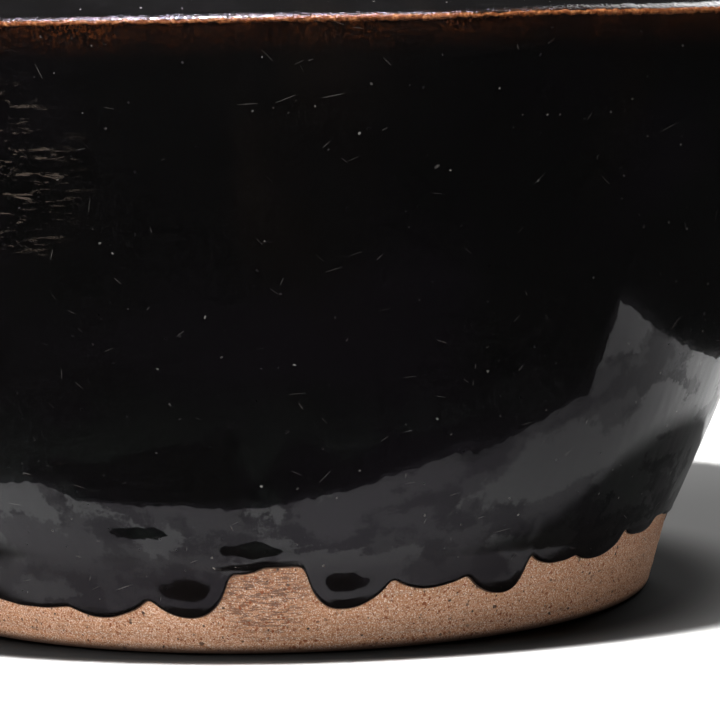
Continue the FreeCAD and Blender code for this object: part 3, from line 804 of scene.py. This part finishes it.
def clay():
    """The bare clay: sandy grain, rust and iron specks, turning lines and smears, darker towards the glaze line
    with flashing and painted shade, and painted shade along the foot edge.
    """
    made, tree, surface, place = new_material("clay")
    flush = patches(tree, place, 24.0, 1.4, 0.35, 0.70)
    colour = blend(tree, flush, CLAY_BUFF, CLAY_WARM)
    smoke = patches(tree, place, 55.0, 2.0, 0.56, 0.74)
    colour = blend(tree, times(tree, smoke, 0.45), colour, CLAY_ASH)
    marks = rings_left(tree, place, 0.0011, 0.85)
    colour = blend(tree, fade(tree, marks, 0.04, -0.16, 0.0, 0.55), colour, CLAY_ASH)
    smears = noise(tree, stretched(tree, place, (420.0, 420.0, 2300.0)), 1.0, 3.0, 0.65)
    colour = blend(tree, fade(tree, smears, 0.50, 0.64, 0.0, 0.75), colour, CLAY_TOAST_AND_SHADE)
    level = add(tree, "ShaderNodeSeparateXYZ", {"Vector": place}).outputs[2]
    # Darker towards the glaze line: partly flashing, partly painted shade where the wall overhangs.
    colour = blend(tree, fade(tree, level, 0.008, 0.019, 0.0, 0.80), colour, CLAY_TOAST_AND_SHADE)
    smudge = times(tree, fade(tree, distance(tree, place, SMUDGE_SPOT), 0.0150, 0.006),
                   fade(tree, smears, 0.46, 0.56, 0.12, 0.72))
    grain = noise(tree, place, 2900.0, 2.0, 0.7)
    colour = blend(tree, fade(tree, grain, 0.55, 0.63, 0.0, 0.70), colour, CLAY_SAND)
    colour = blend(tree, fade(tree, grain, 0.49, 0.39, 0.0, 0.85), colour, CLAY_OCHRE)
    colour = blend(tree, smudge, colour, CLAY_SMUDGE)
    for scale, size, share, ink, depth in CLAY_SPECKS:
        spot = spots(tree, place, scale, size, share)
        strength = times(tree, spot["Mask"], calc(tree, "MULTIPLY_ADD", spot["Kind"], 0.5, depth - 0.5))
        colour = blend(tree, strength, colour, ink)
    # Painted shade: the clay is darkened along the bottom edge of the foot, where shade falls under its rounding.
    colour = blend(tree, fade(tree, level, 0.0029, 0.0005, 0.0, 0.92), colour, CLAY_IRON_AND_SHADE)
    tree.links.new(colour, surface.inputs["Base Color"])
    tree.links.new(fade(tree, grain, 0.3, 0.7, 0.74, 0.90), surface.inputs["Roughness"])
    surface.inputs["Specular IOR Level"].default_value = 0.3
    pits = spots(tree, place, 300.0, 0.2, 0.25)["Mask"]
    normal = bump(tree, marks, 0.45, 0.0006)
    normal = bump(tree, grain, 0.7, 0.0004, normal)
    normal = bump(tree, calc(tree, "SUBTRACT", 1.0, pits), 0.6, 0.00035, normal)
    tree.links.new(normal, surface.inputs["Normal"])
    return made

# ---------------------------------------------------------------- the pieces put together

def glazed(piece, gap):
    """Store how far each point lies above (+) or below (-) the shoulder edge, for the glaze to read."""
    store = piece.data.attributes.new("edge_gap", "FLOAT", "POINT")
    store.data.foreach_set("value", gap)

def settled(piece, material):
    """A finished piece's body, slot and material."""
    piece.data.materials.clear()
    piece.data.materials.append(material)
    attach(piece, "root")

def gap_below_edge(piece):
    """Each point's distance from the shoulder edge, worked out from its own radius and level."""
    count = len(piece.data.vertices)
    place = np.empty(count * 3)
    piece.data.vertices.foreach_get("co", place)
    place = place.reshape(-1, 3)
    radius, turns = np.hypot(place[:, 0], place[:, 1]), np.degrees(np.arctan2(place[:, 0], -place[:, 1]))
    edge_radius, edge_level = edge_wobble(turns, wall_line[-1, 0], np.full(count, wall_line[-1, 1]))
    gap = np.hypot(edge_radius - radius, edge_level - place[:, 2])
    return np.where(place[:, 2] < edge_level, -gap, gap)

base, lower = clay_base(), clay_wall()
wall, shoulder, lining = wall_glaze(), shoulder_glaze(), lining_glaze()
clay_finish, outer_finish, inner_finish = clay(), black_glaze(), lining_finish()
for piece in (base, lower):
    settled(piece, clay_finish)
for piece in (wall, shoulder):
    glazed(piece, gap_below_edge(piece))
    settled(piece, outer_finish)
settled(lining, inner_finish)
for name in ("belly_wall", "shoulder_section", "neck_collar", "rolled_lip"):
    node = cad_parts[name]
    node.data.materials.clear()
    node.data.materials.append(clay_finish)

# ---------------------------------------------------------------- table, light and camera

# Middle of the circle of painted shadow on the table, and the point round which the reflected sheets get a painted
# shadow.
SHADOW_MIDDLE = (0.008, 0.073, 0)
DIM_CORNER = (0.155, -0.085, 0)

def paper(name, colour, glow):
    """Matt paper with painted shade: darker towards the jar and a painted shadow round its foot; glow lightens it
    far off, where the lamp doesn't reach.
    """
    made, tree, surface, place = new_material(name)
    surface.inputs["Roughness"].default_value = 0.95
    surface.inputs["Specular IOR Level"].default_value = 0.1
    tone = fade(tree, noise(tree, place, 3.0, 2.0), 0.3, 0.7, 0.985, 1.0)
    from_foot = add(tree, "ShaderNodeVectorMath", {0: place}, operation="LENGTH").outputs["Value"]
    # Painted shadow: for camera rays the paper is darkened round the foot, inside a circle laid where the jar's
    # shadow falls.
    inside = fade(tree, distance(tree, place, SHADOW_MIDDLE), 0.1765, 0.1715)
    seen = add(tree, "ShaderNodeLightPath").outputs["Is Camera Ray"]
    shade = times(tree, inside, fade(tree, from_foot, 0.134, 0.101, 0.0, 0.97), seen)
    # Painted shade, for every ray: the paper darkens towards the jar from 0.36 m in, and darkens further right at
    # the foot.
    tone = times(tree, tone, calc(tree, "SUBTRACT", 1.0, shade), fade(tree, from_foot, 0.16, 0.36, 0.62, 1.0),
                 fade(tree, from_foot, 0.092, 0.106, 0.15, 1.0))
    # Painted shadow on the reflected sheets, darkest round a corner at the jar's front right.
    if not glow:
        tone = times(tree, tone, fade(tree, distance(tree, place, DIM_CORNER), 0.02, 0.16, 0.45, 1.0))
    tree.links.new(blend(tree, tone, (0, 0, 0), colour), surface.inputs["Base Color"])
    if glow:
        surface.inputs["Emission Color"].default_value = (1, 0.99, 0.98, 1)
        tree.links.new(times(tree, fade(tree, from_foot, 0.38, 1.3, 0.0, glow), seen),
                       surface.inputs["Emission Strength"])
    return made

def sheet(name, points, level, material):
    """A flat sheet at the table's level, with its outline through the points."""
    ready()
    bpy.ops.mesh.primitive_circle_add(vertices=len(points), radius=1, fill_type="NGON", location=(0, 0, 0))
    made = bpy.context.object
    made.name = made.data.name = name
    for vertex, (x, y) in zip(made.data.vertices, points):
        vertex.co = (x, y, level)
    made.data.materials.append(material)
    return made

def oval(centre, radii, count):
    """Points round an oval."""
    return [(centre[0] + radii[0] * math.sin(a), centre[1] + radii[1] * math.cos(a))
            for a in np.linspace(0, 2 * math.pi, count, endpoint=False)]

table = sheet("table", oval((0, 0), (9.0, 9.0), 128), 0.0, paper("table_paper", (0.80, 0.795, 0.785), 0.72))
table.visible_glossy = False
table.visible_shadow = False
# Sheets seen only in the glaze's reflections: a darker copy of the table paper, painted shade that dims the
# mirrored table.
dimmed_mirror_paper = paper("dimmed_paper_for_mirror", (0.33, 0.33, 0.328), 0)
for name, level, points in (
        ("mat_round", -0.0004, oval((0.022, 0.020), (0.188, 0.152), 96)),
        ("mat_long", -0.0006, [(0.030, -0.090), (0.030, 0.350), (0.226, 0.350), (0.226, -0.090)])):
    mat = sheet(name, points, level, dimmed_mirror_paper)
    mat.visible_camera = mat.visible_diffuse = mat.visible_shadow = False

def lamp(name, place, target, size, power, glossy=False):
    """A rectangular lamp aimed at a target; only a glossy one shows in the glaze."""
    light = bpy.data.lights.new(name, "AREA")
    light.shape = "RECTANGLE"
    light.size, light.size_y = size
    light.energy = power
    made = bpy.data.objects.new(name, light)
    bpy.context.collection.objects.link(made)
    away = Vector(place) - Vector(target)
    made.rotation_euler = away.to_track_quat("Z", "Y").to_euler()
    made.location = place
    made.visible_camera = False
    made.visible_glossy = glossy
    return made

lamp("key", (-0.029, -0.262, 0.658), (0, -0.05, 0), (0.045, 0.024), 18.2)
edge_light = lamp("edge_light", (-0.112, -0.290, 0.700), (0, -0.1, 0.14), (0.250, 0.130), 60.0, glossy=True)
edge_light.visible_diffuse = False
lamp("low_kicker", (-1.20, -0.38, 0.10), (0, 0, 0.02), (0.60, 0.12), 13.0)
lamp("front_kicker", (0.25, -1.20, 0.10), (0, 0, 0.02), (0.50, 0.12), 2.2)
lamp("back_fill", (0.55, 1.30, 0.75), (0, 0, 0.1), (1.0, 0.5), 13.0, glossy=True)

world = bpy.data.worlds.new("studio")
world.use_nodes = True
bpy.context.scene.world = world
tree = world.node_tree
background = tree.nodes["Background"]
sight = add(tree, "ShaderNodeTexCoord").outputs["Generated"]
up = add(tree, "ShaderNodeSeparateXYZ", {"Vector": sight}).outputs
path = add(tree, "ShaderNodeLightPath").outputs
overhead = times(tree, fade(tree, up[2], 0.60, 0.99, 0.008, 0.055), fade(tree, up[1], -0.5, 0.4, 0.3, 1.0),
                 path["Is Glossy Ray"])
strength = calc(tree, "ADD", overhead, times(tree, path["Is Camera Ray"], 0.745))
tree.links.new(strength, background.inputs["Strength"])
background.inputs["Color"].default_value = (1, 0.99, 0.98, 1)

CAMERA_PLACE = (0.0, -0.8254, 0.1479)
YAW, PITCH, ROLL = 0.0256, -0.1108, -0.0195
LENS_LENGTH, FILM_WIDTH = 165.3, 36
forward = Vector((math.sin(YAW) * math.cos(PITCH), math.cos(YAW) * math.cos(PITCH), math.sin(PITCH)))
level_right = Vector((math.cos(YAW), -math.sin(YAW), 0))
level_up = level_right.cross(forward)
right = level_right * math.cos(ROLL) + level_up * math.sin(ROLL)
upward = level_up * math.cos(ROLL) - level_right * math.sin(ROLL)
lens = bpy.data.cameras.new("camera")
lens.lens, lens.sensor_width = LENS_LENGTH, FILM_WIDTH
lens.clip_start, lens.clip_end = 0.01, 50
camera = bpy.data.objects.new("camera", lens)
bpy.context.collection.objects.link(camera)
camera.matrix_world = Matrix.Translation(CAMERA_PLACE) @ Matrix((right, upward, -forward)).transposed().to_4x4()
bpy.context.scene.camera = camera
bpy.context.scene.view_settings.view_transform = "Standard"

bpy.context.view_layer.update()
